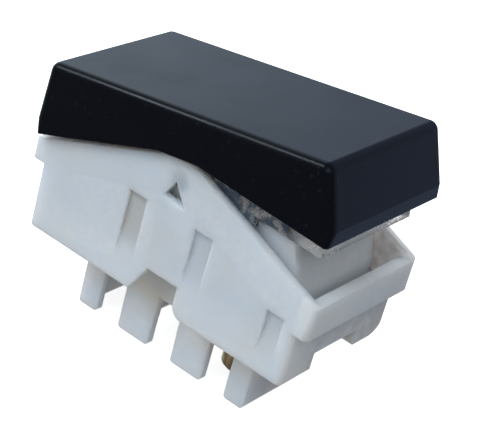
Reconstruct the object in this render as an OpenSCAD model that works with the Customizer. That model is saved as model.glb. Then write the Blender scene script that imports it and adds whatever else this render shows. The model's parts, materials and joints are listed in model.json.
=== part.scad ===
// Light switch module: a one-gang, two-way rocker mechanism that clips into a wall frame.
// Origin: centre of the four outer tab ends that the module stands on. +Z points at the rocker.
// The long side lies along X, and the left end (-X) of the rocker is pressed at rest.

/* [Housing] */
// Length over the two end flanges
flange_length = 44.2; // [43.6:0.1:48]
// How far each flange stands out past the end wall below it
flange_overhang = 1.7; // [1.2:0.1:2]
// Width over the two side plates
housing_width = 22.0; // [21.6:0.1:24]
// Height of the flange tops above the tab ends
flange_z = 21.4; // [21:0.1:24]
// Depth of the side plates below the flange tops
skirt_depth = 11.6; // [10.5:0.1:12.5]
// Height of the flange at the pressed end
left_flange_height = 2.7; // [2.4:0.1:3.2]
// Height of the flange at the raised end
right_flange_height = 4.4; // [3.6:0.1:5]
// Wall of the flanges
flange_wall = 1.6; // [1.2:0.1:1.7]
// Thickness of the side plates
plate_wall = 1.3; // [1.2:0.1:1.6]
// Thickness of the end walls
end_wall = 1.8; // [1.4:0.1:1.9]
// Slope of the hump on each side plate, in degrees
hump_angle = 21.3; // [20:0.1:22]
// Half length of the rounded crown of the hump
crown_half = 3.2; // [2.6:0.1:4]
// Width of the spring tongue in each side plate
tongue_width = 7.4; // [6.6:0.1:8]
// Width of the grooves beside the tongue
groove_width = 2.9; // [2:0.1:3.4]
// Depth of the grooves and of the corner recess
groove_depth = 0.5; // [0.3:0.1:0.7]
// Height of the notch under the tongue
notch_height = 4.0; // [3:0.1:4.4]
// Base width of the triangular sight window
window_base = 3.6; // [3:0.1:4]
// Height of the triangular sight window
window_height = 2.7; // [2.2:0.1:3]
// Width of the arch between the two posts of an end wall
arch_width = 9.2; // [8:0.1:10.4]
// Radius of the tongue's free corner beside the notch
tongue_radius = 1.7; // [0.8:0.1:1.9]
// Height of the arch
arch_height = 2.3; // [1.6:0.1:3]
// Radius of the upright corners and of the lower edge at the pressed end
corner_radius = 0.8; // [0.4:0.1:1]
// Radius of the two keyed post corners on the far side
key_radius = 3.0; // [2:0.1:3.4]

/* [Terminal base] */
// Length of an inner tab
inner_tab_length = 5.0; // [4.4:0.1:5.2]
// Length of an outer tab
outer_tab_length = 3.05; // [2.6:0.05:3.2]
// Width over the tabs
base_width = 11.6; // [11.2:0.1:12.6]
// Height of the tabs' free ends below the wire ways
tab_drop = 4.1; // [3.2:0.1:4.6]
// Thickness of the tabs
tab_wall = 1.1; // [0.9:0.1:1.4]
// Distance from the middle terminal to the outer ones
terminal_pitch = 8.85; // [8.6:0.05:9.1]
// Width of a wire way between two tabs
wire_way = 3.8; // [3.2:0.1:4.4]
// Corner radius at the tabs' free ends
tab_radius = 0.5; // [0.3:0.1:1]

/* [Rocker] */
// How far the cap's top stops short of the flange at each end
cap_top_inset = 1.2; // [1:0.1:2]
// How far the cap's belt reaches past the flange at each end
cap_belt_reach = 0.1; // [-0.5:0.05:0.2]
// How far the cap's top stands out past each side plate
cap_top_overhang = 0.8; // [0.4:0.1:1]
// How far the cap's belt stands out past each side plate
cap_belt_overhang = 1.05; // [0.9:0.05:1.6]
// Corner radius round the cap's top
cap_radius = 1.3; // [1.2:0.1:1.6]
// How far the foot of the cap's end faces draws in below the belt
cap_tuck = 0.45; // [0.1:0.05:0.6]
// Height of the cap at its ends
cap_height = 9.6; // [9:0.1:10.5]
// Wall of the cap
cap_wall = 1.2; // [1:0.1:1.2]
// Height of the cap's end edges above the pivot
cap_edge_z = -0.5; // [-0.8:0.1:0]
// Slope of the cap's lower edge, in degrees
cap_edge_angle = 11.6; // [10.5:0.1:12]
// Tilt of the rocker to each side, in degrees
rocker_tilt = 9.4; // [8:0.1:9.6]
// Depth of the pivot below the shoulder of the hump
pivot_cover = 2.2; // [2.0:0.1:2.5]
// Radius of the pivot pins
pin_radius = 1.1; // [0.9:0.05:1.2]
// Radial clearance of the pivot pins
pin_clearance = 0.05; // [0.03:0.01:0.1]

/* [Contacts] */
// Height of the see-saw contact's axis above the tab ends
lever_z = 13.8; // [13.6:0.1:14]
// Clearance between the see-saw contact's ends and the box they move in
lever_end_gap = 1.0; // [0.8:0.1:1.4]
// Tilt of the see-saw contact to each side, in degrees
lever_tilt = 5.0; // [4.5:0.1:5]
// Thickness of the see-saw contact
lever_sheet = 0.7; // [0.6:0.05:0.8]
// Distance of the contact tips from the see-saw contact's ends
tip_inset = 1.4; // [1.3:0.1:1.8]
// Thickness of the terminal strips
strip_sheet = 0.8; // [0.7:0.05:0.9]
// Radius of the plunger
plunger_radius = 1.6; // [1.4:0.05:1.7]
// Radial clearance of the plunger in its tube
plunger_clearance = 0.06; // [0.04:0.01:0.1]

/* [Clamps] */
// Radius of the terminal screws' shanks
screw_radius = 1.5; // [1.25:0.05:1.6]
// Radius of the screw heads
head_radius = 2.7; // [2.4:0.05:2.75]
// Height of the screw heads
head_height = 2.4; // [2:0.1:2.6]
// Travel of a clamp from open to closed
clamp_travel = 2.5; // [2:0.1:2.5]
// Side length of the square clamp plates
clamp_side = 5.4; // [5:0.1:5.5]
// Thickness of the clamp plates
clamp_sheet = 1.0; // [0.8:0.1:1.1]
// Depth of the grip grooves in the clamp plates
grip_depth = 0.25; // [0.1:0.05:0.3]

/* [Hidden] */
$fn = 48;

// Cutters pass the faces they cut by this much.
over = 0.5;
// Clearance between two pieces that slide together and stay put.
seat_gap = 0.1;
// Clearance between the rocker's walls and what they pass.
swing_gap = 0.25;

// Housing
body_length = flange_length - 2 * flange_overhang;
plate_inner_y = housing_width / 2 - plate_wall;
plate_foot_z = flange_z - skirt_depth;
crown_radius = crown_half / sin(hump_angle);
crown_z = flange_z + (flange_length / 2 - crown_half) * tan(hump_angle);
pivot_z = crown_z - pivot_cover;
groove_top_z = flange_z + 0.8;
left_groove_foot_z = plate_foot_z + 2.9;
right_groove_foot_z = plate_foot_z + 4.6;
window_foot_z = flange_z + 2.4;
recess_x = body_length / 2 - 3.1;
recess_width = 2.6;
recess_top_z = flange_z - right_flange_height + 1.1;
recess_foot_z = plate_foot_z + 2.4;
notch_lean = 2.2;
flange_floor = 0.9;
pin_seat_floor = 0.45;
barb_width = 4.8;
barb_reach = 0.6;
barb_lip = 0.4;
barb_slope = 0.95;
hold_rib_x = body_length / 2 - 6.4;
hold_rib_length = 4;
hold_rib_reach = 0.5;
hold_rib_slope = 1.3;

// Terminal base
base_length = 2 * (terminal_pitch + wire_way / 2 + outer_tab_length);
way_roof_z = tab_drop + 3.3;
floor_z = way_roof_z + 2.6;
ledge_foot_z = plate_foot_z + notch_height + 1.1;
ledge_height = 2.6;
ledge_top_z = ledge_foot_z + ledge_height;
box_top_z = flange_z + 4.7;
ledge_half_x = body_length / 2 - end_wall - seat_gap;
ledge_half_y = plate_inner_y - seat_gap;
chamber_half = clamp_side / 2 + swing_gap;
shelf_half_y = clamp_side / 2 + seat_gap;
strip_half_y = shelf_half_y + 1.0;
chamber_radius = 0.5;
chamber_step = 1.2;
pad_half_y = 2.5;
pad_pocket = 1.0;

// Rocker, in its own frame: origin on the pivot axis, +Z away from the housing
cap_top_length = flange_length - 2 * cap_top_inset;
cap_belt_length = flange_length + 2 * cap_belt_reach;
cap_top_width = housing_width + 2 * cap_top_overhang;
cap_belt_width = housing_width + 2 * cap_belt_overhang;
carrier_wall = 1.1;
carrier_half_y = plate_inner_y - 0.2;
cap_top_z = cap_edge_z + cap_height;
cap_roof = 1.5;
cap_roof_z = cap_top_z - cap_roof;
cap_belt_z = cap_edge_z + 1.9;
cap_rib_pitch = 8.8;
cap_edge_land = 0.75;
cap_foot_radius = 0.4;
cap_rib_height = cap_height - cap_roof;
rim_inset = 2.35;
rim_half_x = flange_length / 2 - rim_inset;
rim_drop = 2.6;
rim_step = 1.4;
rim_top_z = 1;
ear_drop = 1.4;
ear_rise = 0.4;
ear_land = 3.2;
gusset_foot_z = 3.4;
rim_foot_z = cap_edge_z - rim_drop;
carrier_top_z = cap_roof_z - 0.05;
deck_sheet = 1.3;
deck_z = carrier_top_z - deck_sheet;
ear_half = 10.1;
box_half_y = carrier_half_y - carrier_wall - swing_gap;
box_foot_z = flange_z - 1.3;
box_half_x = rim_half_x - carrier_wall - 1.0;
box_lean = 2.2;
box_wall = 1.2;
bay_half_x = box_half_x - box_wall - 0.6;
hall_foot_z = ledge_foot_z + 0.7;

// Plunger and spring, in the rocker's frame
nose_gap = 0.1;
tip_reach = pivot_z - lever_z - lever_sheet / 2 - nose_gap;
tube_foot_z = -8.5;
tube_wall = 0.95;
plunger_top_z = -5.6;
spring_top_z = deck_z - 1.2;
spring_turns = 7;
spring_wire = 0.22;
spring_steps = 14;

// Contacts
lever_half = bay_half_x - lever_end_gap;
tip_x = lever_half - tip_inset;
pad_end = bay_half_x - 0.2;
pad_top_z = floor_z + strip_sheet;
moving_tip_height = 0.75;
moving_tip_radius = 1.3;
fixed_tip_radius = 1.5;
tip_reach_z = lever_sheet / 2 + moving_tip_height;
closed_tip_x = tip_x * cos(lever_tilt) - tip_reach_z * sin(lever_tilt);
closed_tip_z = lever_z - tip_x * sin(lever_tilt) - tip_reach_z * cos(lever_tilt);
contact_gap = 0.12;
lug_radius = 0.6;
lug_clearance = 0.06;
lever_half_y = 2.1;
lug_end_gap = 0.25;
ear_half_x = 1.7;
ear_top_z = lever_z + 0.9;

// Clamps
open_head_z = tab_drop - 2.7;
clamp_open_z = open_head_z + head_height;
closed_z = clamp_open_z + clamp_travel;
shank_top_z = clamp_open_z + 5.9;
thread_clearance = 0.05;
clamp_clearance = 0.15;
slot_half_y = 0.4;
slot_depth = 1.1;
head_bevel = 0.35;
shank_bevel = 0.45;

// Prism with its outline in the XZ plane and its thickness centred on Y = 0
module wall_xz(thickness) {
    rotate([90, 0, 0])
        linear_extrude(thickness, center = true)
            children();
}

// Prism with its outline in the YZ plane and its length centred on X = 0
module wall_yz(length) {
    rotate([90, 0, 90])
        linear_extrude(length, center = true)
            children();
}

// Box given by its lowest and highest corners
module block(low, high) {
    translate(low)
        cube(high - low);
}

// Box that is symmetric about X = 0 and Y = 0
module centred_block(half_x, half_y, low_z, high_z) {
    block([-half_x, -half_y, low_z], [half_x, half_y, high_z]);
}

// Copies the children to both sides of the plane Y = 0
module both_sides() {
    children();
    mirror([0, 1, 0])
        children();
}

// Copies the children to both ends of the module
module both_ends() {
    children();
    mirror([1, 0, 0])
        children();
}

// Outline of a side plate: straight skirt, stepped flanges and a crowned hump
module plate_outline() {
    half_flange = flange_length / 2;
    half_body = body_length / 2;
    translate([0, crown_z - crown_radius * cos(hump_angle)])
        circle(crown_radius, $fn = 96);
    polygon([
        [-half_flange, flange_z],
        [-crown_half, crown_z],
        [crown_half, crown_z],
        [half_flange, flange_z],
        [half_flange, flange_z - right_flange_height],
        [half_body, flange_z - right_flange_height],
        [half_body, plate_foot_z],
        [-half_body, plate_foot_z],
        [-half_body, flange_z - left_flange_height],
        [-half_flange, flange_z - left_flange_height]
    ]);
}

// Removes the sharp corner at the origin from material that lies towards +X and +Y
module corner_cut(radius) {
    difference() {
        square(2 * radius, center = true);
        translate([radius, radius])
            circle(radius);
    }
}

// Notch under the tongue, with one leaning side and one rounded mouth
module notch_outline() {
    half = tongue_width / 2 - 0.2;
    translate([half, plate_foot_z])
        corner_cut(tongue_radius);
    polygon([
        [-half, plate_foot_z - over],
        [-half, plate_foot_z],
        [-half + notch_lean, plate_foot_z + notch_height],
        [half, plate_foot_z + notch_height],
        [half, plate_foot_z - over]
    ]);
}

module window_outline() {
    polygon([
        [-window_base / 2, window_foot_z + 0.2],
        [window_base / 2, window_foot_z - 0.2],
        [-0.35, window_foot_z + window_height]
    ]);
}

// Cutter for a groove in a face that looks towards -Y. It runs out at its lower end.
module fading_groove(width, foot_z, top_z) {
    wall_yz(width)
        polygon([
            [-over, top_z],
            [groove_depth, top_z],
            [groove_depth, (foot_z + top_z) / 2],
            [0, foot_z],
            [-over, foot_z]
        ]);
}

// Cutter that rounds the upright corner where an end face meets a side face
module upright_corner_cut(x, low_z, high_z) {
    translate([x, -housing_width / 2, low_z])
        linear_extrude(high_z - low_z)
            mirror([1, 0])
                corner_cut(corner_radius);
}

// Cutters for the four upright corners at the +X end
module end_corner_cuts(flange_height) {
    flange_foot_z = flange_z - flange_height;
    both_sides() {
        upright_corner_cut(flange_length / 2, flange_foot_z - over, flange_z + over);
        upright_corner_cut(body_length / 2, plate_foot_z - over, flange_foot_z - 0.01);
    }
}

// One side plate in the XZ plane, with its outer face on the -Y side
module side_plate() {
    outer_y = -housing_width / 2;
    difference() {
        translate([0, outer_y + plate_wall / 2, 0])
            wall_xz(plate_wall)
                difference() {
                    plate_outline();
                    notch_outline();
                    window_outline();
                }
        translate([-(tongue_width + groove_width) / 2, outer_y, 0])
            fading_groove(groove_width, left_groove_foot_z, groove_top_z);
        translate([(tongue_width + groove_width) / 2, outer_y, 0])
            fading_groove(groove_width, right_groove_foot_z, groove_top_z);
        translate([0, outer_y + plate_wall / 2 + pin_seat_floor, pivot_z])
            rotate([90, 0, 0])
                cylinder(r = pin_radius + pin_clearance, h = plate_wall, center = true);
    }
    // Barb that holds the terminal base's ledge from below, with a lead-in slope
    translate([0, -plate_inner_y, ledge_foot_z - seat_gap])
        wall_yz(barb_width)
            polygon([[-0.01, 0], [barb_reach, 0], [barb_reach, -barb_lip], [-0.01, -barb_slope]]);
    // Ribs that hold the ledge from above
    both_ends()
        translate([hold_rib_x, -plate_inner_y, ledge_top_z + seat_gap])
            wall_yz(hold_rib_length)
                polygon([
                    [-0.01, 0],
                    [hold_rib_reach, 0],
                    [hold_rib_reach, hold_rib_reach],
                    [-0.01, hold_rib_slope]
                ]);
}

// End wall with its flange, at the +X end
module end_frame(flange_height) {
    outer_x = body_length / 2;
    flange_x = flange_length / 2;
    half_y = housing_width / 2;
    flange_foot_z = flange_z - flange_height;
    flange_floor_z = flange_foot_z + flange_floor;
    difference() {
        union() {
            block([outer_x - end_wall, -half_y, plate_foot_z], [outer_x, half_y, flange_floor_z]);
            block([outer_x - end_wall, -half_y, flange_foot_z], [flange_x, half_y, flange_floor_z]);
            block([flange_x - flange_wall, -half_y, flange_foot_z], [flange_x, half_y, flange_z]);
        }
        block(
            [outer_x - end_wall - over, -arch_width / 2, plate_foot_z - over],
            [outer_x + over, arch_width / 2, plate_foot_z + arch_height]
        );
    }
}

// Cutter that rounds the far lower corner of an end post
module key_corner() {
    far_y = housing_width / 2;
    difference() {
        block(
            [body_length / 2 - 4, far_y - key_radius, plate_foot_z - over],
            [body_length / 2 + over, far_y + over, plate_foot_z + key_radius]
        );
        translate([body_length / 2 - 5, far_y - key_radius, plate_foot_z + key_radius])
            rotate([0, 90, 0])
                cylinder(r = key_radius, h = 6);
    }
}

// White outer moulding
module housing() {
    color("#d6dde2")
        difference() {
            union() {
                both_sides()
                    side_plate();
                end_frame(right_flange_height);
                mirror([1, 0, 0])
                    end_frame(left_flange_height);
            }
            both_ends()
                key_corner();
            // Lower edge of the end wall at the pressed end
            translate([-body_length / 2, 0, plate_foot_z])
                wall_xz(housing_width + 1)
                    corner_cut(corner_radius);
            end_corner_cuts(right_flange_height);
            mirror([1, 0, 0])
                end_corner_cuts(left_flange_height);
            // Groove beside the raised end, on the near plate
            translate([recess_x, -housing_width / 2, 0])
                fading_groove(recess_width, recess_foot_z, recess_top_z);
        }
}

// Tab outline in the XZ plane, from one X to another, with rounded free corners
module tab_outline(from_x, to_x) {
    difference() {
        translate([from_x, 0])
            square([to_x - from_x, way_roof_z]);
        translate([from_x, 0])
            corner_cut(tab_radius);
        translate([to_x, 0])
            mirror([1, 0])
                corner_cut(tab_radius);
    }
}

// Section of the contact box in the XZ plane: upright foot and end walls that lean inwards
module box_outline(wall) {
    foot = box_half_x - wall;
    head = box_half_x - box_lean - wall;
    polygon([
        [-foot, ledge_foot_z + 0.5],
        [foot, ledge_foot_z + 0.5],
        [foot, box_foot_z],
        [head, box_top_z + wall],
        [-head, box_top_z + wall],
        [-foot, box_foot_z]
    ]);
}

// Slab with rounded upright corners, symmetric about X = 0 and Y = 0
module rounded_slab(half_x, half_y, radius, low_z, high_z) {
    inner_x = half_x - radius;
    inner_y = half_y - radius;
    translate([0, 0, low_z])
        linear_extrude(high_z - low_z) {
            square([2 * half_x, 2 * inner_y], center = true);
            square([2 * inner_x, 2 * half_y], center = true);
            for (sx = [-1, 1])
                for (sy = [-1, 1])
                    translate([sx * inner_x, sy * inner_y])
                        circle(radius, $fn = 24);
        }
}

// Chamber of one terminal, centred on X = 0
module terminal_chamber() {
    rounded_slab(chamber_half, base_width / 2 - tab_wall, chamber_radius, -over, way_roof_z - chamber_step);
    rounded_slab(chamber_half, shelf_half_y, chamber_radius, -over, way_roof_z + over);
    centred_block(wire_way / 2, base_width / 2 + over, -over, way_roof_z);
    centred_block(chamber_half, strip_half_y + seat_gap, way_roof_z, floor_z + 1.1);
}

// White inner moulding that holds the contacts and the terminals
module terminal_base() {
    inner_tab = [terminal_pitch - wire_way / 2 - inner_tab_length, terminal_pitch - wire_way / 2];
    outer_tab = [terminal_pitch + wire_way / 2, base_length / 2];
    color("#e3e7e8")
        difference() {
            union() {
                centred_block(base_length / 2, base_width / 2, tab_drop, floor_z);
                centred_block(ledge_half_x - 1.5, base_width / 2, way_roof_z + chamber_step, ledge_foot_z);
                centred_block(ledge_half_x, ledge_half_y, ledge_foot_z, ledge_top_z);
                wall_xz(2 * box_half_y)
                    box_outline(0);
                both_ends()
                    both_sides()
                        for (tab = [inner_tab, outer_tab])
                            translate([0, base_width / 2 - tab_wall / 2, 0])
                                wall_xz(tab_wall)
                                    tab_outline(tab[0], tab[1]);
                both_ends()
                    wall_xz(base_width)
                        tab_outline(base_length / 2 - tab_wall, base_length / 2);
            }
            for (i = [-1:1])
                translate([i * terminal_pitch, 0, 0])
                    terminal_chamber();
            both_ends()
                pad_pocket_cutter();
            centred_block(bay_half_x, strip_half_y + seat_gap, floor_z + pad_pocket, hall_foot_z + over);
            wall_xz(2 * (box_half_y - box_wall))
                intersection() {
                    box_outline(box_wall);
                    translate([-ledge_half_x, hall_foot_z])
                        square([2 * ledge_half_x, box_top_z]);
                }
        }
}

// Pocket for the contact pad of an outer strip, at the +X end
module pad_pocket_cutter() {
    pocket_half_y = pad_half_y + 0.2;
    block(
        [terminal_pitch, -pocket_half_y, floor_z],
        [bay_half_x, pocket_half_y, floor_z + pad_pocket + 0.1]
    );
}

// Rounded wedge shape of the cap, grown inwards by a wall. It widens down to a belt, and the
// end faces draw in again below it.
module cap_form(wall, top_z, corner) {
    top = [cap_top_length / 2 - wall - corner, cap_top_width / 2 - wall - corner];
    belt = [cap_belt_length / 2 - wall - corner, cap_belt_width / 2 - wall - corner];
    foot_x = cap_belt_length / 2 - wall - cap_tuck - cap_foot_radius;
    foot_y = cap_belt_width / 2 - wall - cap_foot_radius;
    hull()
        for (sx = [-1, 1])
            for (sy = [-1, 1]) {
                translate([sx * top[0], sy * top[1], top_z - corner])
                    sphere(corner, $fn = 24);
                translate([sx * belt[0], sy * belt[1], cap_belt_z])
                    cylinder(r = corner, h = 0.1, $fn = 24);
                translate([sx * foot_x, sy * foot_y, cap_edge_z - over])
                    cylinder(r = cap_foot_radius, h = 0.1, $fn = 24);
            }
}

// Everything below a V-shaped edge that climbs from both ends to the middle
module below_edge(end_x, end_z, angle, width) {
    flat_half = 3.0;
    rise = (end_x - flat_half) * tan(angle);
    wall_xz(width)
        polygon([
            [-end_x - 5, end_z - 8],
            [-end_x - 5, end_z],
            [-end_x, end_z],
            [-flat_half, end_z + rise],
            [flat_half, end_z + rise],
            [end_x, end_z],
            [end_x + 5, end_z],
            [end_x + 5, end_z - 8]
        ]);
}

// Rib inside the cap's side wall. It hangs from the roof and thins towards its foot.
module cap_rib() {
    mirror([0, 0, 1])
        wall_yz(1)
            polygon([[0, 0], [2, 0], [2, cap_rib_height], [0.3, cap_rib_height]]);
}

// Black cap
module rocker_cap() {
    color("#15161b")
        rocker_pose()
            difference() {
                cap_form(0, cap_top_z, cap_radius);
                difference() {
                    cap_form(cap_wall, cap_roof_z, 0.4);
                    // Ribs that centre the cap on its carrier
                    for (i = [-3:2:3])
                        both_sides()
                            translate([i * cap_rib_pitch / 2, carrier_half_y + seat_gap, cap_top_z])
                                cap_rib();
                }
                below_edge(cap_belt_length / 2 - cap_edge_land, cap_edge_z, cap_edge_angle, cap_belt_width + 2);
            }
}

// Places the rocker's own frame at rest
module rocker_pose() {
    translate([0, 0, pivot_z])
        rotate([0, -rocker_tilt, 0])
            children();
}

// Side wall of the carrier in the XZ plane: skirt, ear and V-shaped lower edge
module carrier_side_outline() {
    edge_rise = (rim_half_x - ear_half) * tan(cap_edge_angle);
    polygon([
        [-rim_half_x + rim_step, carrier_top_z],
        [-rim_half_x + rim_step, rim_top_z],
        [-rim_half_x, rim_top_z],
        [-rim_half_x, rim_foot_z],
        [-ear_half, rim_foot_z + edge_rise],
        [-ear_half, rim_foot_z + ear_rise],
        [-ear_land, rim_foot_z - ear_drop],
        [ear_land, rim_foot_z - ear_drop],
        [ear_half, rim_foot_z + ear_rise],
        [ear_half, rim_foot_z + edge_rise],
        [rim_half_x, rim_foot_z],
        [rim_half_x, rim_top_z],
        [rim_half_x - rim_step, rim_top_z],
        [rim_half_x - rim_step, carrier_top_z]
    ]);
}

// Gusset from the plunger tube to the carrier's end wall, at the +X end
module rocker_gusset() {
    tube_x = plunger_radius + 0.3;
    end_x = rim_half_x - rim_step - 0.1;
    wall_xz(1)
        polygon([
            [tube_x, -2],
            [tube_x + 6, gusset_foot_z],
            [end_x, gusset_foot_z],
            [end_x, deck_z + 0.1],
            [tube_x, deck_z + 0.1]
        ]);
}

// Clear carrier with the two pivot pins and the plunger tube
module rocker_carrier() {
    color("#8d939b", 0.75)
        rocker_pose()
            difference() {
                union() {
                    both_sides() {
                        translate([0, carrier_half_y - carrier_wall / 2, 0])
                            wall_xz(carrier_wall)
                                carrier_side_outline();
                        translate([0, carrier_half_y - 0.1, 0])
                            rotate([-90, 0, 0])
                                cylinder(r = pin_radius, h = 1.05);
                    }
                    centred_block(rim_half_x - rim_step, carrier_half_y - 0.1, deck_z, carrier_top_z);
                    both_ends() {
                        block(
                            [rim_half_x - rim_step - carrier_wall, -carrier_half_y + 0.1, 0],
                            [rim_half_x - rim_step, carrier_half_y - 0.1, carrier_top_z]
                        );
                        block(
                            [rim_half_x - carrier_wall, -carrier_half_y + 0.1, rim_foot_z],
                            [rim_half_x, carrier_half_y - 0.1, rim_top_z]
                        );
                        rocker_gusset();
                    }
                    translate([0, 0, tube_foot_z])
                        cylinder(r = plunger_radius + tube_wall, h = deck_z - tube_foot_z + 0.1);
                }
                translate([0, 0, tube_foot_z - over])
                    cylinder(r = plunger_radius + plunger_clearance, h = spring_top_z - tube_foot_z + over);
            }
}

// Plunger with a round nose
module plunger() {
    color("#f2f0e8")
        rocker_pose() {
            translate([0, 0, -tip_reach + plunger_radius])
                sphere(plunger_radius);
            translate([0, 0, -tip_reach + plunger_radius])
                cylinder(r = plunger_radius, h = plunger_top_z + tip_reach - plunger_radius);
        }
}

// Ring of points round the spring's wire at one place along the coil
function wire_ring(turn, height, coil_radius, wire, sides) = [
    for (i = [0:sides - 1])
        let (
            around = 360 * i / sides,
            reach = coil_radius + wire * cos(around)
        )
            [reach * cos(360 * turn), reach * sin(360 * turn), height + wire * sin(around)]
];

// Closed tube through a list of point rings
module swept_tube(rings) {
    sides = len(rings[0]);
    last = len(rings) - 1;
    points = [for (ring = rings) for (p = ring) p];
    walls = [
        for (r = [0:last - 1])
            for (i = [0:sides - 1])
                let (j = (i + 1) % sides)
                    [r * sides + i, r * sides + j, (r + 1) * sides + j, (r + 1) * sides + i]
    ];
    first_cap = [for (i = [sides - 1:-1:0]) i];
    last_cap = [for (i = [0:sides - 1]) last * sides + i];
    polyhedron(points = points, faces = concat([first_cap], walls, [last_cap]));
}

// Coil spring between the plunger and the tube's end
module plunger_spring() {
    low = plunger_top_z + spring_wire + 0.02;
    high = spring_top_z - spring_wire - 0.02;
    count = spring_turns * spring_steps;
    rings = [
        for (k = [0:count])
            wire_ring(
                k / spring_steps,
                low + (high - low) * k / count,
                plunger_radius - spring_wire - 0.15,
                spring_wire,
                6
            )
    ];
    color("#b9bcc0")
        rocker_pose()
            swept_tube(rings);
}

// Places the see-saw contact's own frame at rest
module lever_pose() {
    translate([0, 0, lever_z])
        rotate([0, lever_tilt, 0])
            children();
}

// See-saw contact with two side lugs
module contact_lever() {
    half_y = lever_half_y;
    lug_end_y = strip_half_y - lug_end_gap;
    color("#b98f45")
        lever_pose() {
            centred_block(lever_half - half_y, half_y, -lever_sheet / 2, lever_sheet / 2);
            both_ends()
                translate([lever_half - half_y, 0, -lever_sheet / 2])
                    cylinder(r = half_y, h = lever_sheet);
            both_sides()
                translate([0, half_y - 0.45, 0])
                    rotate([-90, 0, 0])
                        cylinder(r = lug_radius, h = lug_end_y - half_y + 0.45);
        }
}

// Domed contact button on the -Z side of its origin
module contact_button(radius, height) {
    dome_radius = 6;
    intersection() {
        translate([0, 0, -height])
            cylinder(r = radius, h = height);
        translate([0, 0, dome_radius - height])
            sphere(dome_radius, $fn = 64);
    }
}

module moving_tip(side) {
    color("#d9dadb")
        lever_pose()
            translate([side * tip_x, 0, -lever_sheet / 2])
                contact_button(moving_tip_radius, moving_tip_height);
}

module fixed_tip(side) {
    color("#d9dadb")
        translate([side * closed_tip_x, 0, pad_top_z])
            cylinder(r = fixed_tip_radius, h = closed_tip_z - contact_gap - pad_top_z);
}

// Outer strip, at the +X end: screw tab, joggle and contact pad
module outer_strip() {
    tab_half = chamber_half - seat_gap;
    tab_end = terminal_pitch + tab_half;
    step_x = terminal_pitch + chamber_half;
    color("#b08a3e")
        difference() {
            union() {
                block(
                    [terminal_pitch - tab_half, -strip_half_y, way_roof_z],
                    [tab_end, strip_half_y, way_roof_z + strip_sheet]
                );
                block([tab_end - strip_sheet, -pad_half_y, way_roof_z], [tab_end, pad_half_y, pad_top_z]);
                block([tab_end - strip_sheet, -pad_half_y, floor_z], [pad_end, pad_half_y, pad_top_z]);
            }
            translate([terminal_pitch, 0, way_roof_z - over])
                cylinder(r = screw_radius + thread_clearance, h = 2);
        }
}

// Middle strip with the two notched ears that carry the see-saw contact
module common_terminal_strip() {
    tab_half = chamber_half - seat_gap;
    ear_y = strip_half_y - strip_sheet;
    color("#b08a3e")
        difference() {
            union() {
                centred_block(tab_half, strip_half_y, way_roof_z, way_roof_z + strip_sheet);
                both_sides()
                    block([-ear_half_x, ear_y, way_roof_z], [ear_half_x, strip_half_y, ear_top_z]);
            }
            translate([0, 0, way_roof_z - over])
                cylinder(r = screw_radius + thread_clearance, h = 2);
            translate([0, 0, lever_z])
                rotate([90, 0, 0])
                    cylinder(r = lug_radius + lug_clearance, h = 10, center = true);
            centred_block(lug_radius + lug_clearance, 5, lever_z, lever_z + 2);
        }
}

// Square clamp plate with its lower face at Z = 0 and grip grooves across its upper face
module clamp_plate(x, z) {
    half = clamp_side / 2;
    color("#c5a055")
        translate([x, 0, z])
            difference() {
                rounded_slab(half, half, chamber_radius, 0, clamp_sheet);
                translate([0, 0, -over])
                    cylinder(r = screw_radius + clamp_clearance, h = 2);
                for (i = [-2, -1, 1, 2])
                    translate([0, i * half / 2.6, clamp_sheet])
                        wall_yz(clamp_side + 1)
                            polygon([[-grip_depth, 0.001], [0, -grip_depth], [grip_depth, 0.001]]);
            }
}

// Slotted screw with the top of its head at Z = 0, driven from below
module terminal_screw(x, z) {
    shank = shank_top_z - clamp_open_z;
    color("#c09a4e")
        translate([x, 0, z])
            difference() {
                rotate_extrude()
                    polygon([
                        [0, -head_height],
                        [head_radius - head_bevel, -head_height],
                        [head_radius, -head_height + head_bevel],
                        [head_radius, 0],
                        [screw_radius, 0],
                        [screw_radius, shank - shank_bevel],
                        [screw_radius - shank_bevel, shank],
                        [0, shank]
                    ]);
                centred_block(
                    head_radius + over,
                    slot_half_y,
                    -head_height - over,
                    -head_height + slot_depth
                );
            }
}

housing();
terminal_base();
rocker_cap();
rocker_carrier();
plunger();
plunger_spring();
contact_lever();
moving_tip(-1);  // left_moving_tip
moving_tip(1);  // right_moving_tip
fixed_tip(-1);  // left_fixed_tip
fixed_tip(1);  // right_fixed_tip
mirror([1, 0, 0]) outer_strip();  // left_terminal_strip
common_terminal_strip();
outer_strip();  // right_terminal_strip
clamp_plate(-terminal_pitch, closed_z);  // left_clamp_plate
clamp_plate(0, closed_z);  // common_clamp_plate
clamp_plate(terminal_pitch, clamp_open_z);  // right_clamp_plate
terminal_screw(-terminal_pitch, closed_z);  // left_terminal_screw
terminal_screw(0, closed_z);  // common_terminal_screw
terminal_screw(terminal_pitch, clamp_open_z);  // right_terminal_screw
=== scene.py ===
"""Looks of a rocker switch module: moulded white housing, black cap, clear carrier and brass terminals."""

import json
import math

import bpy
from mathutils import Matrix, Vector

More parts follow.
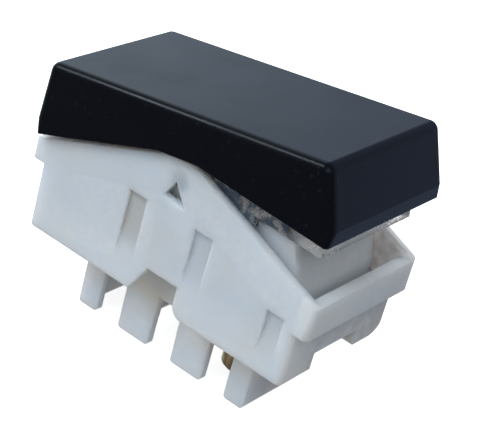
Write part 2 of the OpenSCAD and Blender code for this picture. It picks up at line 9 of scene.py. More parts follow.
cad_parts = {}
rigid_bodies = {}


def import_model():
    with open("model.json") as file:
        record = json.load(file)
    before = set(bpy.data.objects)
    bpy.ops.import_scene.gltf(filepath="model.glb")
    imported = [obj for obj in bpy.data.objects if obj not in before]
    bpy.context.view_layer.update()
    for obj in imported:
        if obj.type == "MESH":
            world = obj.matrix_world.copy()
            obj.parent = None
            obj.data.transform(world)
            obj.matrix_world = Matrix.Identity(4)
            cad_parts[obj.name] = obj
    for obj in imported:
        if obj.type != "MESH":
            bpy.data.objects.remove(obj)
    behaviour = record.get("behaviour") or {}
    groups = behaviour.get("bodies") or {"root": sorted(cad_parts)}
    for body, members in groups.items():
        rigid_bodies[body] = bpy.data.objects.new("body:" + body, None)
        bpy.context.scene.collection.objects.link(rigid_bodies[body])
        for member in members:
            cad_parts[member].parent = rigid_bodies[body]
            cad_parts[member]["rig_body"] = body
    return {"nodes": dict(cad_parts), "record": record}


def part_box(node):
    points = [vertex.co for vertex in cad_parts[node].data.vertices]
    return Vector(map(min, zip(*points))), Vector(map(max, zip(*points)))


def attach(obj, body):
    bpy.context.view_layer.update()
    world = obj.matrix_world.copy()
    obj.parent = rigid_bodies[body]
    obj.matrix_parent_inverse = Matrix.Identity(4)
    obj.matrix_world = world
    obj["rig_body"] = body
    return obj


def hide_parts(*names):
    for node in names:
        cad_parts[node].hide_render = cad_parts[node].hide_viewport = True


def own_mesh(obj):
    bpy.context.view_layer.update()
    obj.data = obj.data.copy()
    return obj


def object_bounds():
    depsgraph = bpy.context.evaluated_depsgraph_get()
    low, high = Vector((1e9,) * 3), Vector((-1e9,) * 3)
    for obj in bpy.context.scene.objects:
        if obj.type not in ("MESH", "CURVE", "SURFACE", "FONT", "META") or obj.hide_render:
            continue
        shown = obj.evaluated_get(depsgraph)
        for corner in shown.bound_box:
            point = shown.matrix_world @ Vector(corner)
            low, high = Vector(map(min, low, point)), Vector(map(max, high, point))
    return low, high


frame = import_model()
CAD_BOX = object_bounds()

MM = 0.001
NODES = frame["nodes"]

# Camera: where it looks, from which side, how far away and how it is turned
AIM = Vector((3.0, 1.9, 19.4)) * MM
CAMERA_AZIMUTH = 30.16
CAMERA_ELEVATION = 28.2
CAMERA_ROLL = -15.98
CAMERA_DISTANCE = 214.0 * MM
LENS_MM = 125.0
SENSOR_MM = 36.0
CAMERA_NEAREST = 10.0 * MM

# Light that matt faces gather from the room, by height and by side
HORIZON = (-0.3, 0.5)
FLOOR_GLOW = 0.45
SKY_GLOW = 0.5
SIDES = (-0.7, 0.7)
LEFT_GAIN = 1.2
RIGHT_GAIN = 0.6
ROOM_TINT = (1.0, 1.0, 0.99, 1)

# What polished faces mirror: a bright wall behind, strongest at the left, another one in front
# at the right, and a dark room elsewhere
MIRROR_DARK = 0.1
MIRROR_WALL_LEFT = 0.86
MIRROR_WALL_RIGHT = 0.2
WALL_ACROSS = (-0.8, -0.3)
WALL_DEPTH = (-0.1, 0.5)
MIRROR_FRONT = 0.8
FRONT_ACROSS = (-0.1, 0.4)
FRONT_DEPTH = (-0.2, -0.7)
FRONT_RISE = (0.15, 0.6)
WALL_TINT_LEFT = (0.74, 0.9, 1.0, 1)
WALL_TINT_RIGHT = (0.52, 0.66, 1.0, 1)

# What the camera sees behind the part
BACKDROP = (1.0, 1.0, 1.0, 1)
BACKDROP_STRENGTH = 1.0

# Lamps, in metres and watts: three for matt faces only, and a small one that only glints
LAMP_TARGET = (0, 0, 0.02)
MATT_LAMPS = {
    "key": dict(spot=(-0.3, -0.48, 0.55), size=0.6, power=3.7, colour=(0.82, 0.91, 1.0)),
    "fill": dict(spot=(0.45, -0.35, 0.55), size=0.5, power=1.3, colour=(0.78, 0.89, 1.0)),
    "rear": dict(spot=(-0.25, 0.5, 0.4), size=0.6, power=2.0, colour=(0.9, 0.95, 1.0)),
}
GLINT_LAMP = dict(spot=(-0.5, -0.3, 0.5), size=0.2, power=0.45, colour=(0.72, 0.86, 1.0))

# Floor: a wide sheet of pale paper just under the part
FLOOR_SIZE = 40.0
FLOOR_GAP = 0.02 * MM
FLOOR_DARKER = (0.9, 0.9, 0.9, 1)
FLOOR_LIGHTER = (0.94, 0.94, 0.94, 1)
FLOOR_GLOW_COLOUR = (1.0, 1.0, 1.0, 1)
FLOOR_EMISSION = 0.8
FLOOR_ROUGHNESS = 0.9

# Edge rounding of each piece, in millimetres. The coil spring has none
EDGE_RADII_MM = {
    "housing": 0.18,
    "terminal_base": 0.12,
    "rocker_cap": 0.12,
    "rocker_carrier": 0.1,
    "plunger": 0.08,
    "contact_lever": 0.06,
    "left_moving_tip": 0.04,
    "right_moving_tip": 0.04,
    "left_fixed_tip": 0.04,
    "right_fixed_tip": 0.04,
    "left_terminal_strip": 0.06,
    "common_terminal_strip": 0.06,
    "right_terminal_strip": 0.06,
    "left_clamp_plate": 0.05,
    "common_clamp_plate": 0.05,
    "right_clamp_plate": 0.05,
    "left_terminal_screw": 0.06,
    "common_terminal_screw": 0.06,
    "right_terminal_screw": 0.06,
}
BEVEL_SEGMENTS = 2

# Mesh clean-up, angles in degrees
MERGE_DISTANCE = 0.002 * MM
SLIVER_WIDTH = 0.0005 * MM
FLAT_ANGLE = 0.5
SHARP_ANGLE = 32.0
SMOOTH_ANGLE = 35.0
COIL_SMOOTH_ANGLE = 75.0

# Texture scales that every finish shares: how much the broad waves of a grain count against its
# fine part, and how fine the wavering edge of a fade is
BROAD_WAVES_SHARE = 2.5
WAVER_SCALE = 350.0

# Milky moulding: how far light spreads in it, and its paler rubbed edges
LIGHT_SPREAD = 0.004
LIGHT_SPREAD_BY_COLOUR = (1.0, 0.85, 0.75)
MILKY_RUBBED = (0.86, 0.9, 0.94, 1)

# Housing: its body, painted shade on its set-back inner faces, painted light on the near half of its
# end flange and painted shade in the groove left of the tongue
MILKY = (0.72, 0.79, 0.88, 1)
MILKY_WARM = (0.74, 0.76, 0.77, 1)
MILKY_SHADED = (0.35, 0.338, 0.322, 1)
SHADE_FROM = -8.5 * MM
SHADE_TO = -5.0 * MM
SHADE_SET_BACK = dict(Back=0.9, Front=0.96)
# Painted light on the near half of the end flange
MILKY_PAINTED_LIGHT = (0.90, 0.97, 1.0, 1)
CORNER_DEPTH = 2.3 * MM
CORNER_FULL_DEPTH = 1.84 * MM
CORNER_FROM = -2.0 * MM
CORNER_TO = 10.0 * MM
# Painted shade in the groove left of the tongue
GROOVE_PAINTED_SHADE = (0.64, 0.62, 0.585, 1)
GROOVE_SET_BACK = dict(Back=0.955, Front=0.985)
GROOVE_LEFT_SIDE = dict(From=-13.5 * MM, To=-9.0 * MM)
GROOVE_RIGHT_SIDE = dict(From=3.0 * MM, To=4.5 * MM)

# Terminal base: painted warm light that comes through the plastic in the shade above its tabs,
# painted shade in the screw chambers, and painted light on the contact box with a warmer painted
# shade on its end. The length beyond both ends is one that the base never reaches, so that only
# its width counts
BASE_COOL = (0.67, 0.77, 0.90, 1)
BASE_WARM = (0.70, 0.79, 0.89, 1)
# Painted warm light that comes through the plastic in the shade above the tabs
BASE_PAINTED_GLOW = (0.95, 0.88, 0.76, 1)
TAB_GLOW_FROM = 2.5 * MM
TAB_GLOW_FULL_FROM = 7.5 * MM
CHAMBER_SHADE = (0.50, 0.53, 0.56, 1)
CHAMBER_SET_BACK = dict(Back=0.3, Front=0.8)
CHAMBERS_BELOW = 12.0 * MM
CHAMBERS_FULL_BELOW = 10.0 * MM
TAB_ROW_HALF_WIDTH = 5.8 * MM
BEYOND_BOTH_ENDS = 1.0
# Painted light on the contact box
BOX_PAINTED_LIGHT = (0.95, 0.97, 1.0, 1)
BOX_LIGHT_FROM = 16.0 * MM
BOX_LIGHT_TO = 18.0 * MM
# Painted shade, warmer and darker, on the end of the contact box
BOX_END_PAINTED_SHADE = (0.85, 0.78, 0.73, 1)
BOX_END_FROM = 13.5 * MM
BOX_END_TO = 15.2 * MM

# Rocker cap
NEAR_BLACK = (0.0025, 0.0025, 0.0045, 1)
DUSTY_BLACK = (0.010, 0.011, 0.015, 1)
RUBBED_BLACK = (0.008, 0.009, 0.012, 1)

# Rocker carrier: smoky patches and amber flecks, with painted light at its ends and at its pivot.
# The tilt is its slope at rest, in degrees
SMOKE = (0.13, 0.19, 0.27, 1)
SMOKE_LIGHT = (0.66, 0.65, 0.62, 1)
AMBER = (0.28, 0.17, 0.07, 1)
# Painted light for the carrier's ends and its pivot
CLEAR_PAINTED_LIGHT = (0.93, 0.93, 0.91, 1)
ROCKER_TILT = 9.4
CARRIER_LIT_FROM = 17.2 * MM
CARRIER_LIT_TO = 19.2 * MM
CARRIER_LIT_WAVER = 4.0 * MM
PIVOT_BOSS = dict(X=-0.5 * MM, Z=23.8 * MM, Inner=1.8 * MM, Outer=2.1 * MM)

# Plunger and metal pieces
IVORY = (0.8, 0.78, 0.72, 1)
IVORY_WARM = (0.7, 0.66, 0.56, 1)
STEEL = dict(bright=(0.62, 0.63, 0.65, 1), tarnished=(0.4, 0.39, 0.38, 1), rough=0.22)
ROLLED_BRASS = dict(bright=(0.78, 0.57, 0.26, 1), tarnished=(0.5, 0.34, 0.16, 1), rough=0.25)
SILVER = dict(bright=(0.85, 0.85, 0.84, 1), tarnished=(0.55, 0.52, 0.48, 1), rough=0.2)
TURNED_BRASS = dict(bright=(0.78, 0.53, 0.27, 1), tarnished=(0.5, 0.33, 0.18, 1), rough=0.3)
TARNISH_ROUGHENS = 0.2


def joint(name):
    """The record's entry for a joint."""
    return next(j for j in frame["record"]["behaviour"]["joints"] if j["name"] == name)


# ---------------------------------------------------------------- node helpers

def new_group(name, inputs, outputs):
    """An empty shader group with float inputs {name: default} and typed outputs {name: socket type}."""
    group = bpy.data.node_groups.new(name, "ShaderNodeTree")
    for label, default in inputs.items():
        socket = group.interface.new_socket(label, in_out="INPUT", socket_type="NodeSocketFloat")
        socket.default_value = default
    for label, kind in outputs.items():
        group.interface.new_socket(label, in_out="OUTPUT", socket_type=kind)
    start = group.nodes.new("NodeGroupInput")
    end = group.nodes.new("NodeGroupOutput")
    return group, start, end


def add(tree, kind, **settings):
    """A node of that kind, with attributes set by name."""
    node = tree.nodes.new(kind)
    for key, value in settings.items():
        setattr(node, key, value)
    return node


def set_range(node, source, low, high):
    """Sets a Map Range node to run from low to high as its value goes through the source pair."""
    node.inputs["From Min"].default_value = source[0]
    node.inputs["From Max"].default_value = source[1]
    node.inputs["To Min"].default_value = low
    node.inputs["To Max"].default_value = high


def cloud_group():
    """A soft-edged mask of drifting patches."""
    group, start, end = new_group(
        "cloud_patches",
        {"Scale": 200.0, "Detail": 3.0, "Low": 0.4, "High": 0.6},
        {"Mask": "NodeSocketFloat"},
    )
    place = add(group, "ShaderNodeTexCoord")
    noise = add(group, "ShaderNodeTexNoise")
    ramp = add(group, "ShaderNodeMapRange")
    link = group.links.new
    link(place.outputs["Object"], noise.inputs["Vector"])
    link(start.outputs["Scale"], noise.inputs["Scale"])
    link(start.outputs["Detail"], noise.inputs["Detail"])
    link(noise.outputs["Fac"], ramp.inputs["Value"])
    link(start.outputs["Low"], ramp.inputs["From Min"])
    link(start.outputs["High"], ramp.inputs["From Max"])
    link(ramp.outputs["Result"], end.inputs["Mask"])
    return group


def edge_group():
    """A mask that is white on raised edges, broken up by a fine noise."""
    group, start, end = new_group(
        "rubbed_edges",
        {"Low": 0.52, "High": 0.62, "Break": 900.0},
        {"Mask": "NodeSocketFloat"},
    )
    shape = add(group, "ShaderNodeNewGeometry")
    place = add(group, "ShaderNodeTexCoord")
    noise = add(group, "ShaderNodeTexNoise")
    ramp = add(group, "ShaderNodeMapRange")
    both = add(group, "ShaderNodeMath", operation="MULTIPLY")
    link = group.links.new
    link(shape.outputs["Pointiness"], ramp.inputs["Value"])
    link(start.outputs["Low"], ramp.inputs["From Min"])
    link(start.outputs["High"], ramp.inputs["From Max"])
    link(place.outputs["Object"], noise.inputs["Vector"])
    link(start.outputs["Break"], noise.inputs["Scale"])
    link(ramp.outputs["Result"], both.inputs[0])
    link(noise.outputs["Fac"], both.inputs[1])
    link(both.outputs[0], end.inputs["Mask"])
    return group


def grain_group():
    """A normal that carries the fine texture of a moulded or rolled surface."""
    group, start, end = new_group(
        "moulded_grain",
        {"Scale": 3000.0, "Strength": 0.1, "Depth": 0.00002, "Waves": 120.0},
        {"Normal": "NodeSocketVector"},
    )
    place = add(group, "ShaderNodeTexCoord")
    fine = add(group, "ShaderNodeTexNoise")
    broad = add(group, "ShaderNodeTexNoise")
    total = add(group, "ShaderNodeMath", operation="MULTIPLY_ADD")
    total.inputs[1].default_value = BROAD_WAVES_SHARE
    bump = add(group, "ShaderNodeBump")
    link = group.links.new
    for noise, label in ((fine, "Scale"), (broad, "Waves")):
        link(place.outputs["Object"], noise.inputs["Vector"])
        link(start.outputs[label], noise.inputs["Scale"])
    link(broad.outputs["Fac"], total.inputs[0])
    link(fine.outputs["Fac"], total.inputs[2])
    link(total.outputs[0], bump.inputs["Height"])
    link(start.outputs["Strength"], bump.inputs["Strength"])
    link(start.outputs["Depth"], bump.inputs["Distance"])
    link(bump.outputs["Normal"], end.inputs["Normal"])
    return group


def set_back_group():
    """A mask that is white on every face that lies back from a moulding's outer sides and ends."""
    group, start, end = new_group(
        "set_back_faces",
        {"Half Length": 0.02, "Half Width": 0.01, "Back": 0.95, "Front": 0.99},
        {"Mask": "NodeSocketFloat"},
    )
    place = add(group, "ShaderNodeTexCoord")
    split = add(group, "ShaderNodeSeparateXYZ")
    reach = add(group, "ShaderNodeMath", operation="MAXIMUM")
    ramp = add(group, "ShaderNodeMapRange")
    ramp.inputs["To Min"].default_value = 1.0
    ramp.inputs["To Max"].default_value = 0.0
    link = group.links.new
    link(place.outputs["Object"], split.inputs[0])
    for slot, (axis, label) in enumerate((("X", "Half Length"), ("Y", "Half Width"))):
        size = add(group, "ShaderNodeMath", operation="ABSOLUTE")
        share = add(group, "ShaderNodeMath", operation="DIVIDE")
        link(split.outputs[axis], size.inputs[0])
        link(size.outputs[0], share.inputs[0])
        link(start.outputs[label], share.inputs[1])
        link(share.outputs[0], reach.inputs[slot])
    link(reach.outputs[0], ramp.inputs["Value"])
    link(start.outputs["Back"], ramp.inputs["From Min"])
    link(start.outputs["Front"], ramp.inputs["From Max"])
    link(ramp.outputs["Result"], end.inputs["Mask"])
    return group


def fade_group():
    """A mask that rises along one direction, from a first place on it to a second."""
    group, start, end = new_group(
        "fade_along",
        {"Along X": 0.0, "Along Y": 0.0, "Along Z": 0.0, "From": 0.0, "To": 0.01, "Waver": 0.0},
        {"Mask": "NodeSocketFloat"},
    )
    place = add(group, "ShaderNodeTexCoord")
    heading = add(group, "ShaderNodeCombineXYZ")
    noise = add(group, "ShaderNodeTexNoise")
    noise.inputs["Scale"].default_value = WAVER_SCALE
    reach = add(group, "ShaderNodeVectorMath", operation="DOT_PRODUCT")
    shaken = add(group, "ShaderNodeMath", operation="MULTIPLY_ADD")
    ramp = add(group, "ShaderNodeMapRange")
    link = group.links.new
    for axis in "XYZ":
        link(start.outputs["Along " + axis], heading.inputs[axis])
    link(place.outputs["Object"], noise.inputs["Vector"])
    link(place.outputs["Object"], reach.inputs[0])
    link(heading.outputs[0], reach.inputs[1])
    link(noise.outputs["Fac"], shaken.inputs[0])
    link(start.outputs["Waver"], shaken.inputs[1])
    link(reach.outputs["Value"], shaken.inputs[2])
    link(shaken.outputs[0], ramp.inputs["Value"])
    link(start.outputs["From"], ramp.inputs["From Min"])
    link(start.outputs["To"], ramp.inputs["From Max"])
    link(ramp.outputs["Result"], end.inputs["Mask"])
    return group


def spot_group():
    """A soft round mask about a line across the piece."""
    group, start, end = new_group(
        "spot_across",
        {"X": 0.0, "Z": 0.0, "Inner": 0.001, "Outer": 0.002},
        {"Mask": "NodeSocketFloat"},
    )
    place = add(group, "ShaderNodeTexCoord")
    split = add(group, "ShaderNodeSeparateXYZ")
    offset = add(group, "ShaderNodeCombineXYZ")
    size = add(group, "ShaderNodeVectorMath", operation="LENGTH")
    ramp = add(group, "ShaderNodeMapRange")
    ramp.inputs["To Min"].default_value = 1.0
    ramp.inputs["To Max"].default_value = 0.0
    link = group.links.new
    link(place.outputs["Object"], split.inputs[0])
    for axis in ("X", "Z"):
        step = add(group, "ShaderNodeMath", operation="SUBTRACT")
        link(split.outputs[axis], step.inputs[0])
        link(start.outputs[axis], step.inputs[1])
        link(step.outputs[0], offset.inputs[axis])
    link(offset.outputs[0], size.inputs[0])
    link(size.outputs["Value"], ramp.inputs["Value"])
    link(start.outputs["Inner"], ramp.inputs["From Min"])
    link(start.outputs["Outer"], ramp.inputs["From Max"])
    link(ramp.outputs["Result"], end.inputs["Mask"])
    return group


CLOUD = cloud_group()
EDGES = edge_group()
GRAIN = grain_group()
SET_BACK = set_back_group()
FADE = fade_group()
SPOT = spot_group()


class Finish:
    """A material being built: its tree, its shader and short calls for the shared effects."""

    def __init__(self, name, **shader):
        self.material = bpy.data.materials.new(name)
        self.material.use_nodes = True
        self.tree = self.material.node_tree
        self.bsdf = self.tree.nodes["Principled BSDF"]
        for label, value in shader.items():
            self.bsdf.inputs[label.replace("_", " ")].default_value = value

    def effect(self, group, **values):
        """The mask or normal of a shared effect, set by its input names, with _ for a blank."""
        node = add(self.tree, "ShaderNodeGroup", node_tree=group)
        for label, value in values.items():
            node.inputs[label.replace("_", " ")].default_value = value
        return node.outputs[0]

    def all_of(self, masks):
        """The product of several masks, each one a shared effect and its values."""
        product = None
        for group, values in masks:
            mask = self.effect(group, **values)
            if product is not None:
                both = add(self.tree, "ShaderNodeMath", operation="MULTIPLY")
                self.tree.links.new(product, both.inputs[0])
                self.tree.links.new(mask, both.inputs[1])
                mask = both.outputs[0]
            product = mask
        return product

    def blend(self, mask, low, high):
        """A colour that runs from low to high where the mask is white. Either may be a socket."""
        mix = add(self.tree, "ShaderNodeMix", data_type="RGBA")
        self.tree.links.new(mask, mix.inputs["Factor"])
        for socket, value in ((mix.inputs[6], low), (mix.inputs[7], high)):
            if isinstance(value, bpy.types.NodeSocket):
                self.tree.links.new(value, socket)
            else:
                socket.default_value = value
        return mix.outputs[2]

    def span(self, mask, low, high):
        """A value that runs from low to high where the mask is white."""
        ramp = add(self.tree, "ShaderNodeMapRange")
        self.tree.links.new(mask, ramp.inputs["Value"])
        ramp.inputs["To Min"].default_value = low
        ramp.inputs["To Max"].default_value = high
        return ramp.outputs["Result"]

    def drive(self, label, socket):
        """Lets a socket set one of the shader's inputs."""
        self.tree.links.new(socket, self.bsdf.inputs[label])


# ---------------------------------------------------------------- materials

def milky_plastic(name, cool, warm, zones=()):
    """Translucent white moulding with a satin skin. Its colour drifts between a cool and a warm
    white. Each zone is a list of masks, all of which have to be white, and the colour that it
    lays over the body."""
    finish = Finish(name, IOR=1.5, Subsurface_Weight=0.9, Subsurface_Scale=LIGHT_SPREAD)
    finish.bsdf.inputs["Subsurface Radius"].default_value = LIGHT_SPREAD_BY_COLOUR
    clouds = finish.effect(CLOUD, Scale=110.0, Low=0.35, High=0.7)
    edges = finish.effect(EDGES, Low=0.5, High=0.6)
    body = finish.blend(clouds, cool, warm)
    for masks, colour in zones:
        body = finish.blend(finish.all_of(masks), body, colour)
    finish.drive("Base Color", finish.blend(edges, body, MILKY_RUBBED))
    finish.drive("Roughness", finish.span(clouds, 0.36, 0.5))
    finish.drive("Normal", finish.effect(GRAIN, Scale=2200.0, Strength=0.12, Waves=160.0))
    return finish.material


def black_plastic():
    """Satin black cap with dust specks and lightly rubbed edges."""
    finish = Finish("satin_black_cap", IOR=1.5)
    dust = finish.effect(CLOUD, Scale=1500.0, Detail=2.0, Low=0.66, High=0.72)
    wipes = finish.effect(CLOUD, Scale=90.0, Detail=4.0, Low=0.4, High=0.75)
    edges = finish.effect(EDGES, Low=0.52, High=0.66)
    body = finish.blend(dust, NEAR_BLACK, DUSTY_BLACK)
    finish.drive("Base Color", finish.blend(edges, body, RUBBED_BLACK))
    finish.drive("Roughness", finish.span(wipes, 0.22, 0.32))
    finish.drive("Normal", finish.effect(GRAIN, Scale=1800.0, Strength=0.16, Waves=70.0))
    return finish.material


def smoky_clear():
    """Clear carrier: mottled blue-grey with amber flecks, with painted light at both ends and at its
    pivot.
    """
    pivot = joint("rocker_tilt")["pos_m"]
    tilt = math.radians(ROCKER_TILT)
    finish = Finish("smoky_clear_carrier", IOR=1.5, Transmission_Weight=0.6)
    patches = finish.effect(CLOUD, Scale=620.0, Detail=4.0, Low=0.46, High=0.6)
    flecks = finish.effect(CLOUD, Scale=1300.0, Detail=2.0, Low=0.64, High=0.7)
    body = finish.blend(patches, SMOKE, SMOKE_LIGHT)
    # Painted light at both ends of the carrier
    for side in (1, -1):
        along = Vector((side * math.cos(tilt), 0, side * math.sin(tilt)))
        middle = along.dot(pivot)
        ends = dict(From=middle + CARRIER_LIT_FROM, To=middle + CARRIER_LIT_TO)
        mask = finish.effect(FADE, Along_X=along.x, Along_Z=along.z, Waver=CARRIER_LIT_WAVER, **ends)
        body = finish.blend(mask, body, CLEAR_PAINTED_LIGHT)
    body = finish.blend(flecks, body, AMBER)
    # Painted light at the pivot
    finish.drive("Base Color", finish.blend(finish.effect(SPOT, **PIVOT_BOSS), body, CLEAR_PAINTED_LIGHT))
    finish.drive("Roughness", finish.span(patches, 0.1, 0.3))
    finish.drive("Normal", finish.effect(GRAIN, Scale=900.0, Strength=0.35, Waves=260.0))
    return finish.material


def worn_metal(name, bright, tarnished, rough):
    """Bare metal with tarnish clouds and rolled grain."""
    finish = Finish(name, Metallic=1.0)
    tarnish = finish.effect(CLOUD, Scale=700.0, Detail=4.0, Low=0.4, High=0.65)
    edges = finish.effect(EDGES, Low=0.5, High=0.6)
    body = finish.blend(tarnish, bright, tarnished)
    finish.drive("Base Color", finish.blend(edges, body, bright))
    finish.drive("Roughness", finish.span(tarnish, rough, rough + TARNISH_ROUGHENS))
    finish.drive("Normal", finish.effect(GRAIN, Scale=2600.0, Strength=0.2, Waves=300.0))
    return finish.material


def milky_housing():
    """Outer moulding: cool outside, with painted shade inside, painted light on the near half of its end
    flange and painted shade in the groove left of the tongue."""
    low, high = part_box("housing")
    size = dict(Half_Length=(high[0] - low[0]) / 2, Half_Width=(high[1] - low[1]) / 2)
    # Painted light on the near half of the end flange
    corner = [
        (FADE, dict(Along_X=1.0, From=high[0] - CORNER_DEPTH, To=high[0] - CORNER_FULL_DEPTH)),
        (FADE, dict(Along_Y=-1.0, From=CORNER_FROM, To=CORNER_TO)),
    ]
    shaded = [
        (SET_BACK, dict(**size, **SHADE_SET_BACK)),
        (FADE, dict(Along_Y=1.0, From=SHADE_FROM, To=SHADE_TO)),
    ]
    # Painted shade in the groove left of the tongue
    left_groove = [
        (SET_BACK, dict(**size, **GROOVE_SET_BACK)),
        (FADE, dict(Along_X=-1.0, **GROOVE_RIGHT_SIDE)),
        (FADE, dict(Along_X=1.0, **GROOVE_LEFT_SIDE)),
    ]
    zones = [(corner, MILKY_PAINTED_LIGHT), (shaded, MILKY_SHADED), (left_groove, GROOVE_PAINTED_SHADE)]
    return milky_plastic("milky_housing", MILKY, MILKY_WARM, zones)


def milky_base():
    """Inner moulding: cool at the tabs' free ends, painted warm light in the shade above them, painted
    shade in the chambers between the tab rows, and painted light on the contact box with a warmer
    painted shade on its end."""
    # Painted warm light in the shade above the tabs
    glow_above_tabs = (FADE, dict(Along_Z=1.0, From=TAB_GLOW_FROM, To=TAB_GLOW_FULL_FROM))
    inside = dict(Half_Length=BEYOND_BOTH_ENDS, Half_Width=TAB_ROW_HALF_WIDTH, **CHAMBER_SET_BACK)
    chambers = [
        (SET_BACK, inside),
        (FADE, dict(Along_Z=-1.0, From=-CHAMBERS_BELOW, To=-CHAMBERS_FULL_BELOW)),
    ]
    # Painted light on the contact box
    box = (FADE, dict(Along_Z=1.0, From=BOX_LIGHT_FROM, To=BOX_LIGHT_TO))
    # Painted shade on the end of the contact box
    box_end = (FADE, dict(Along_X=1.0, From=BOX_END_FROM, To=BOX_END_TO))
    zones = [
        ([glow_above_tabs], BASE_PAINTED_GLOW),
        (chambers, CHAMBER_SHADE),
        ([box], BOX_PAINTED_LIGHT),
        ([box, box_end], BOX_END_PAINTED_SHADE),
    ]
    return milky_plastic("milky_base", BASE_COOL, BASE_WARM, zones)


MATERIALS = {
    "housing_white": milky_housing(),
    "base_white": milky_base(),
    "cap_black": black_plastic(),
    "carrier_clear": smoky_clear(),
    "plunger_white": milky_plastic("ivory_plunger", IVORY, IVORY_WARM),
    "spring_steel": worn_metal("spring_steel", **STEEL),
    "contact_brass": worn_metal("rolled_brass", **ROLLED_BRASS),
    "contact_silver": worn_metal("contact_silver", **SILVER),
    "screw_brass": worn_metal("turned_brass", **TURNED_BRASS),
}


# ---------------------------------------------------------------- pieces

def node_slot(name):
    """The record's material slot of a CAD node."""
    return next(s["material_slot"] for s in frame["record"]["subparts"] if s["node"] == name)


def dress(obj, slot):
    """Gives an object the material of a slot, and no other."""
    obj.data.materials.clear()
    obj.data.materials.append(MATERIALS[slot])


def select_only(piece):
    """Makes a piece the active object and the only one selected."""
    bpy.ops.object.select_all(action="DESELECT")
    bpy.context.view_layer.objects.active = piece
    piece.select_set(True)


def round_edges(piece, radius):
    """Rounds the sharp edges of the active piece."""
    bevel = piece.modifiers.new("rounding", "BEVEL")
    bevel.width = radius
    bevel.segments = BEVEL_SEGMENTS
    bevel.limit_method = "ANGLE"
    bevel.angle_limit = math.radians(SHARP_ANGLE)
    bpy.ops.object.modifier_apply(modifier="rounding")


def settle_normals(piece):
    """Lets the broad faces of the active piece set its shading, so that roundings don't pull it."""
    weights = piece.modifiers.new("broad_faces", "WEIGHTED_NORMAL")
    weights.keep_sharp = True
    bpy.ops.object.modifier_apply(modifier="broad_faces")


def finished_copy(name, radius=0.0, smooth_angle=SMOOTH_ANGLE):
    """A merged copy of a CAD node that stands for it, with its sharp edges rounded where a radius
    is given."""
    piece = bpy.data.objects.new(name + "_finished", NODES[name].data.copy())
    bpy.context.scene.collection.objects.link(piece)
    select_only(piece)
    bpy.ops.object.mode_set(mode="EDIT")
    bpy.ops.mesh.select_all(action="SELECT")
    bpy.ops.mesh.remove_doubles(threshold=MERGE_DISTANCE)
    bpy.ops.mesh.dissolve_limited(angle_limit=math.radians(FLAT_ANGLE), delimit={"NORMAL"})
    bpy.ops.object.mode_set(mode="OBJECT")
    if radius:
        round_edges(piece, radius)
    bpy.ops.object.mode_set(mode="EDIT")
    bpy.ops.mesh.select_all(action="SELECT")
    bpy.ops.mesh.dissolve_degenerate(threshold=SLIVER_WIDTH)
    bpy.ops.object.mode_set(mode="OBJECT")
    bpy.ops.object.shade_smooth_by_angle(angle=math.radians(smooth_angle))
    settle_normals(piece)
    dress(piece, node_slot(name))
    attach(piece, NODES[name]["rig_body"])
    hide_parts(name)
    return piece


def shorten_with_plunger(spring):
    """Gives the coil a mesh of its own."""
    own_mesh(spring)


# The hidden nodes have the same finishes as the copies that stand for them
for node_name, node_object in NODES.items():
    dress(node_object, node_slot(node_name))
for node_name, edge_radius in EDGE_RADII_MM.items():
    finished_copy(node_name, edge_radius * MM)
shorten_with_plunger(finished_copy("plunger_spring", smooth_angle=COIL_SMOOTH_ANGLE))


# ---------------------------------------------------------------- floor, light and camera

def make_floor():
    """Plain pale paper that neither lights the part nor shows in its gloss."""
    bpy.ops.mesh.primitive_plane_add(size=FLOOR_SIZE, location=(0, 0, CAD_BOX[0][2] - FLOOR_GAP))
    floor = bpy.context.active_object
    floor.name = "floor"
    paper = Finish("pale_floor", Roughness=FLOOR_ROUGHNESS)
    cloud = paper.effect(CLOUD, Scale=6.0, Low=0.3, High=0.7)
    paper.drive("Base Color", paper.blend(cloud, FLOOR_DARKER, FLOOR_LIGHTER))
    paper.bsdf.inputs["Emission Color"].default_value = FLOOR_GLOW_COLOUR
    paper.bsdf.inputs["Emission Strength"].default_value = FLOOR_EMISSION
    floor.data.materials.append(paper.material)
    floor.visible_glossy = False
    floor.visible_diffuse = False


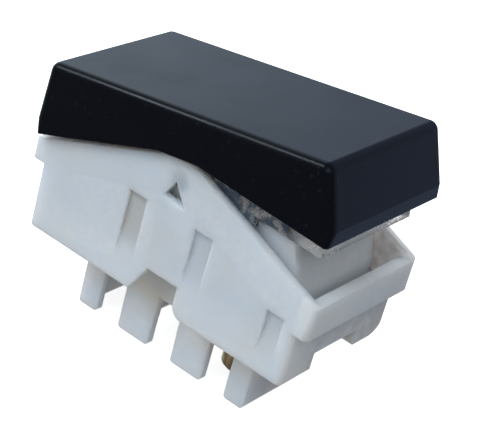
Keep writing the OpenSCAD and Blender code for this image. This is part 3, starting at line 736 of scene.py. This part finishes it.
def make_world():
    """Soft surroundings: an even room for matt faces, bright walls in it for polished ones."""
    world = bpy.data.worlds.new("soft_room")
    bpy.context.scene.world = world
    world.use_nodes = True
    tree = world.node_tree
    link = tree.links.new
    place = add(tree, "ShaderNodeTexCoord")
    split = add(tree, "ShaderNodeSeparateXYZ")
    link(place.outputs["Generated"], split.inputs[0])

    def ramp(axis, source, low=0.0, high=1.0):
        node = add(tree, "ShaderNodeMapRange", interpolation_type="SMOOTHSTEP")
        set_range(node, source, low, high)
        link(split.outputs[axis], node.inputs["Value"])
        return node.outputs["Result"]

    def joined(operation, first, second):
        node = add(tree, "ShaderNodeMath", operation=operation)
        for socket, value in zip(node.inputs, (first, second)):
            if isinstance(value, float):
                socket.default_value = value
            else:
                link(value, socket)
        return node.outputs[0]

    def shader(colour, strength):
        node = add(tree, "ShaderNodeBackground")
        for label, value in (("Color", colour), ("Strength", strength)):
            if isinstance(value, bpy.types.NodeSocket):
                link(value, node.inputs[label])
            else:
                node.inputs[label].default_value = value
        return node.outputs[0]

    def where(mask, other, chosen):
        node = add(tree, "ShaderNodeMixShader")
        for socket, value in zip(node.inputs, (mask, other, chosen)):
            link(value, socket)
        return node.outputs[0]

    matt = joined(
        "MULTIPLY",
        ramp("Z", HORIZON, FLOOR_GLOW, SKY_GLOW),
        ramp("X", SIDES, LEFT_GAIN, RIGHT_GAIN),
    )
    back_wall = joined(
        "MULTIPLY",
        ramp("X", WALL_ACROSS, MIRROR_WALL_LEFT, MIRROR_WALL_RIGHT),
        ramp("Y", WALL_DEPTH),
    )
    front_wall = joined("MULTIPLY", ramp("X", FRONT_ACROSS), ramp("Y", FRONT_DEPTH))
    front_wall = joined("MULTIPLY", front_wall, ramp("Z", FRONT_RISE, 0.0, MIRROR_FRONT))
    polished = joined("ADD", joined("ADD", back_wall, front_wall), MIRROR_DARK)
    tint = add(tree, "ShaderNodeMix", data_type="RGBA")
    tint.inputs[6].default_value = WALL_TINT_LEFT
    tint.inputs[7].default_value = WALL_TINT_RIGHT
    link(ramp("X", WALL_ACROSS), tint.inputs["Factor"])

    rays = add(tree, "ShaderNodeLightPath").outputs
    seen = where(rays["Is Glossy Ray"], shader(ROOM_TINT, matt), shader(tint.outputs[2], polished))
    seen = where(rays["Is Camera Ray"], seen, shader(BACKDROP, BACKDROP_STRENGTH))
    link(seen, tree.nodes["World Output"].inputs["Surface"])


def soft_light(name, spot, size, power, colour):
    """A round area lamp at a spot, turned to the part."""
    light = bpy.data.lights.new(name, "AREA")
    light.shape = "DISK"
    light.size = size
    light.energy = power
    light.color = colour
    lamp = bpy.data.objects.new(name, light)
    bpy.context.scene.collection.objects.link(lamp)
    lamp.location = spot
    towards = Vector(LAMP_TARGET) - Vector(spot)
    lamp.rotation_euler = towards.to_track_quat("-Z", "Y").to_euler()
    return lamp


def make_lights():
    """Broad lamps from the front left, the front right and behind, and a small one that glints."""
    for name, values in MATT_LAMPS.items():
        soft_light(name, **values).visible_glossy = False
    soft_light("glint", **GLINT_LAMP).visible_diffuse = False


def make_camera():
    """A long lens, turned a little about the line of sight."""
    azimuth = math.radians(CAMERA_AZIMUTH)
    elevation = math.radians(CAMERA_ELEVATION)
    roll = math.radians(CAMERA_ROLL)
    right = Vector((math.cos(azimuth), math.sin(azimuth), 0))
    forward = Vector((
        -math.sin(azimuth) * math.cos(elevation),
        math.cos(azimuth) * math.cos(elevation),
        -math.sin(elevation),
    ))
    up = right.cross(forward)
    turned_right = math.cos(roll) * right - math.sin(roll) * up
    turned_up = math.sin(roll) * right + math.cos(roll) * up
    lens = bpy.data.cameras.new("view")
    lens.lens = LENS_MM
    lens.sensor_width = SENSOR_MM
    lens.sensor_fit = "HORIZONTAL"
    lens.clip_start = CAMERA_NEAREST
    camera = bpy.data.objects.new("view", lens)
    bpy.context.scene.collection.objects.link(camera)
    axes = Matrix((turned_right, turned_up, -forward)).transposed().to_4x4()
    camera.matrix_world = Matrix.Translation(AIM - CAMERA_DISTANCE * forward) @ axes
    bpy.context.scene.camera = camera


make_floor()
make_world()
make_lights()
make_camera()
bpy.context.scene.view_settings.view_transform = "Standard"
